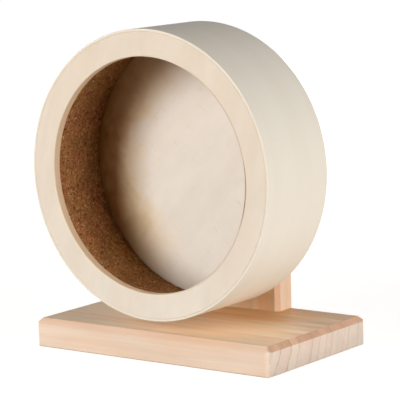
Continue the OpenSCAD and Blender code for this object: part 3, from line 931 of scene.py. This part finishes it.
def makeHub(sizes):
    outer, back = hubHigh.x, hubHigh.y
    c, ease, fine = sizes["chamfer"], sizes["ease"], sizes["fineEase"]
    pocket, floor = sizes["pocketRadius"], back - sizes["pocketDepth"]
    recess, recessFloor = sizes["recessRadius"], back - sizes["recessDepth"]
    return turnPiece("hubBlock", [
        (0.0, hubLow.y, 0, 0), (outer, hubLow.y, fine, 0), (outer, back - c, ease, 0),
        (outer - c, back, ease, 0), (pocket, back, fine, 0), (pocket, floor, 0, 0), (recess, floor, 0, 0),
        (recess, recessFloor, 0, 0), (0.0, recessFloor, 0, 0)], hubPly, sizes["steps"], closed=False)


for piece, node, slotName in ((makeBand(drumSizes), "rim", "birch_band"),
                              (makeFrontRing(drumSizes), "front_ring", "birch_ply"),
                              (makeCork(drumSizes, corkLook), "cork_lining", "cork"),
                              (makeBackDisc(drumSizes), "back_disc", "birch_ply"),
                              (makeHub(hubSizes), "hub_block", "birch_ply")):
    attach(piece, "wheel")
    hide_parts(node)
    print("drum:", piece.name, len(piece.data.polygons), "faces")


# boards and metal pieces: the CAD shape with its edges finely rounded

def finerCopy(name, node, material, ease, sharpAngle=30):
    mesh = nodes[node].data.copy()
    mesh.name = name
    editMesh(mesh, mergeClose, joinFlatFaces)
    mesh.materials.clear()
    mesh.materials.append(material)
    smoothBelow(mesh, sharpAngle)
    piece = addObject(name, mesh)
    bevel = piece.modifiers.new("ease", "BEVEL")
    bevel.width = ease
    bevel.segments = 3
    bevel.limit_method = "ANGLE"
    bevel.angle_limit = math.radians(sharpAngle)
    bevel.harden_normals = True
    bevel.miter_outer = "MITER_ARC"
    bakePiece(piece)
    editMesh(piece.data, mergeClose)
    return piece


standPieces = {
    # node, material, how much its edges are eased, slot
    "baseBoard": ("base_board", pineBase, 0.0006, "pine"),
    "uprightBoard": ("upright", pineUpright, 0.0005, "pine"),
    "axleBolt": ("axle_bolt", zincSteel, 0.00015, "zinc_steel"),
    "headShim": ("head_shim", zincSteel, 0.00008, "zinc_steel"),
    "spacerSleeve": ("spacer_sleeve", zincSteel, 0.00015, "zinc_steel"),
    "frontWasher": ("front_washer", zincSteel, 0.00015, "zinc_steel"),
    "rearWasher": ("rear_washer", zincSteel, 0.00015, "zinc_steel"),
    "springWasher": ("spring_washer", zincSteel, 0.00012, "zinc_steel"),
    "capNut": ("cap_nut", polishedSteel, 0.0002, "polished_steel"),
}
for name, (node, material, ease, slotName) in standPieces.items():
    piece = finerCopy(name, node, material, ease)
    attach(piece, "stand")
    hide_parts(node)
    print("stand:", name, len(piece.data.polygons), "faces")


# two countersunk screws with a cross recess

screwSizes = {
    "headRadius": 0.004,
    "headEase": 0.0001,
    "shankRadius": 0.002,
    "edge": 0.0004,
    "cone": 0.0024,
    "length": 0.050,
    "point": 0.004,
    "pitch": 0.032,
    "slotWidth": 0.0009,
    "slotLength": 0.0042,
    "slotDepth": 0.0016,
    "slotTaper": 0.45,       # the slot's length at its floor, as a share
    "turn": 1.5,             # radians, the most that a screw is turned
    "seed": 4,
    "steps": 48,
    "sharpAngle": 35,
}


def makeOneScrew(sizes):
    head, shank, ease = sizes["headRadius"], sizes["shankRadius"], sizes["headEase"]
    outline = [(0, 0), (head - ease, 0), (head, ease), (head, sizes["edge"]),
               (shank, sizes["edge"] + sizes["cone"]), (shank, sizes["length"] - sizes["point"]),
               (0, sizes["length"])]
    work = bmesh.new()
    verts = [work.verts.new((radius, 0, height)) for radius, height in outline]
    edges = [work.edges.new(pair) for pair in zip(verts, verts[1:])]
    bmesh.ops.spin(work, geom=verts + edges, cent=(0, 0, 0), axis=(0, 0, 1), angle=2 * math.pi,
                   steps=sizes["steps"], use_merge=True)
    mergeClose(work)
    faceOutwards(work)
    mesh = bpy.data.meshes.new("screw")
    work.to_mesh(mesh)
    work.free()
    screw = addObject("screw", mesh)

    cross = bmesh.new()
    for turn in (0, 90):
        bar = bmesh.ops.create_cube(cross, size=1.0)["verts"]
        bmesh.ops.scale(cross, vec=(sizes["slotLength"], sizes["slotWidth"], sizes["slotDepth"] * 2), verts=bar)
        for vert in bar:
            if vert.co.z > 0:
                vert.co.x *= sizes["slotTaper"]
        bmesh.ops.rotate(cross, matrix=Matrix.Rotation(math.radians(turn), 3, "Z"), verts=bar)
    cutAway(screw, cross, crossed=True)
    editMesh(screw.data, mergeClose)
    smoothBelow(screw.data, sizes["sharpAngle"])
    return screw


def screwRowTree():
    tree, given = startTree("screwRow", {
        "Screw": ("Object", None), "Count": ("Int", 2), "Pitch": ("Float", 0.03), "First": ("Vector", None),
        "Turn": ("Float", 0.0), "Seed": ("Int", 0), "Material": ("Material", None)})
    row = addNode(tree, "GeometryNodeMeshLine", {"Count": given["Count"], "Start Location": given["First"],
                                                 "Offset": combine(tree, given["Pitch"], 0.0, 0.0)}).outputs[0]
    screw = addNode(tree, "GeometryNodeObjectInfo", {"Object": given["Screw"]}).outputs["Geometry"]
    turn = addNode(tree, "FunctionNodeRandomValue", {2: 0.0, 3: given["Turn"], "Seed": given["Seed"]},
                   data_type="FLOAT").outputs[1]
    placed = addNode(tree, "GeometryNodeInstanceOnPoints", {
        "Points": row, "Instance": screw, "Rotation": combine(tree, 0.0, 0.0, turn)}).outputs[0]
    return endTree(tree, placed, given["Material"])


oneScrew = makeOneScrew(screwSizes)
screwLow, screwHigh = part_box("upright_screws")
screws = bakeTree("uprightScrews", screwRowTree(), {
    "Screw": oneScrew, "Count": 2, "Pitch": screwSizes["pitch"], "Turn": screwSizes["turn"],
    "Seed": screwSizes["seed"], "Material": yellowZinc,
    "First": (-screwSizes["pitch"] / 2, (screwLow.y + screwHigh.y) / 2, screwLow.z)})
discard(oneScrew, bpy.data.meshes)
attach(screws, "stand")
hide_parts("upright_screws")
print("stand: screws", len(screws.data.polygons), "faces")

# the bearing and the dowels keep their CAD meshes
for node, material in (("bearing_outer_race", bearingSteel), ("bearing_inner_race", bearingSteel),
                       ("bearing_balls", bearingSteel), ("bearing_front_shield", sheetSteel),
                       ("bearing_rear_shield", sheetSteel), ("bearing_cage", cagePlastic),
                       ("upright_dowels", beech)):
    for materialSlot in nodes[node].material_slots:
        materialSlot.material = material
print("bearing and dowels: materials assigned")


# floor and lights

def whiteBehind(tree):
    # 1 for rays from the camera, and for those that polished metal sends back
    rays = addNode(tree, "ShaderNodeLightPath").outputs
    bounced = calc(tree, "MAXIMUM", rays["Is Glossy Ray"], rays["Is Transmission Ray"])
    return calc(tree, "MAXIMUM", rays["Is Camera Ray"], bounced)


floorLook = {
    "halfWidth": 20,
    "drop": 0.0001,         # just under the base
    "paint": (0.36, 0.34, 0.31, 1),
    "whiteNear": 0.88,      # its own white beside the object, so that the shadow still shows
    "whiteFar": 1.0,
    "near": 0.22,
    "far": 0.75,
}


def addFloor(look):
    mesh = bpy.data.meshes.new("floor")
    w, down = look["halfWidth"], -look["drop"]
    mesh.from_pydata([(-w, -w, down), (w, -w, down), (w, w, down), (-w, w, down)], [], [(0, 1, 2, 3)])
    floor = addObject("floor", mesh)
    material = bpy.data.materials.new("paleFloor")
    material.use_nodes = True
    tree = material.node_tree
    tree.nodes.clear()
    x, y, z = separate(tree, objectPlace(tree))
    glow = remap(tree, lengthOf(tree, x, y), look["near"], look["far"], look["whiteNear"], look["whiteFar"],
                 smooth=True)
    matt = addNode(tree, "ShaderNodeBsdfDiffuse", {"Color": look["paint"]}).outputs[0]
    strength = times(tree, whiteBehind(tree), glow)
    lit = addNode(tree, "ShaderNodeEmission", {"Color": white, "Strength": strength}).outputs[0]
    both = addNode(tree, "ShaderNodeAddShader", {0: matt, 1: lit}).outputs[0]
    addNode(tree, "ShaderNodeOutputMaterial", {"Surface": both})
    mesh.materials.append(material)


def addWorld(look):
    world = bpy.data.worlds.new("studio")
    scene.world = world
    world.use_nodes = True
    tree = world.node_tree
    tree.nodes.clear()
    behind = whiteBehind(tree)
    background = addNode(tree, "ShaderNodeBackground", {
        "Color": mixColour(tree, behind, look["colour"], white),
        "Strength": remap(tree, behind, 0.0, 1.0, look["level"], 1.0)})
    addNode(tree, "ShaderNodeOutputWorld", {"Surface": background.outputs[0]})


worldLook = {
    "level": 0.02,
    "colour": (1.0, 0.86, 0.70, 1),
}
lampTarget = (0, -0.02, axleHeight)
softboxes = {
    # degrees round from the front (right is positive) and up, distance, width, height, power, colour
    "frontLight": (-16, 11.5, 2.4, 1.10, 1.30, 51.0, (1.0, 0.99, 0.965)),
    "rightLight": (88, 6, 2.2, 1.7, 1.1, 49.5, (1.0, 0.99, 0.975)),
    "leftLight": (-106, 2, 2.2, 1.6, 0.3, 23.0, (1.0, 0.99, 0.965)),
    "backLight": (190, 2, 2.2, 1.6, 0.3, 24.0, (1.0, 0.98, 0.95)),
}
floorBounce = {
    # a warm card that lies on the floor beside the base and throws light up under the drum
    "place": (0.165, -0.03, 0.002),
    "width": 0.07,
    "depth": 0.16,
    "power": 0.036,
    "colour": (1.0, 0.82, 0.68),
}


def addLamp(name, width, height, power, colour):
    data = bpy.data.lights.new(name, "AREA")
    data.shape = "RECTANGLE"
    data.size = width
    data.size_y = height
    data.energy = power
    data.color = colour
    light = addObject(name, data)
    light.visible_camera = False
    return light


def addSoftbox(name, towards, azimuth, elevation, distance, *settings):
    light = addLamp(name, *settings)
    a, e = math.radians(azimuth), math.radians(elevation)
    away = Vector((math.sin(a) * math.cos(e), -math.cos(a) * math.cos(e), math.sin(e)))
    light.location = Vector(towards) + away * distance
    light.rotation_euler = away.to_track_quat("Z", "Y").to_euler()


def addBounce(look):
    light = addLamp("floorBounce", look["width"], look["depth"], look["power"], look["colour"])
    light.location = look["place"]
    light.rotation_euler = (math.pi, 0, 0)
    light.visible_glossy = False


addFloor(floorLook)
addWorld(worldLook)
for name, settings in softboxes.items():
    addSoftbox(name, lampTarget, *settings)
addBounce(floorBounce)
scene.view_settings.view_transform = "Standard"
print("stage set")
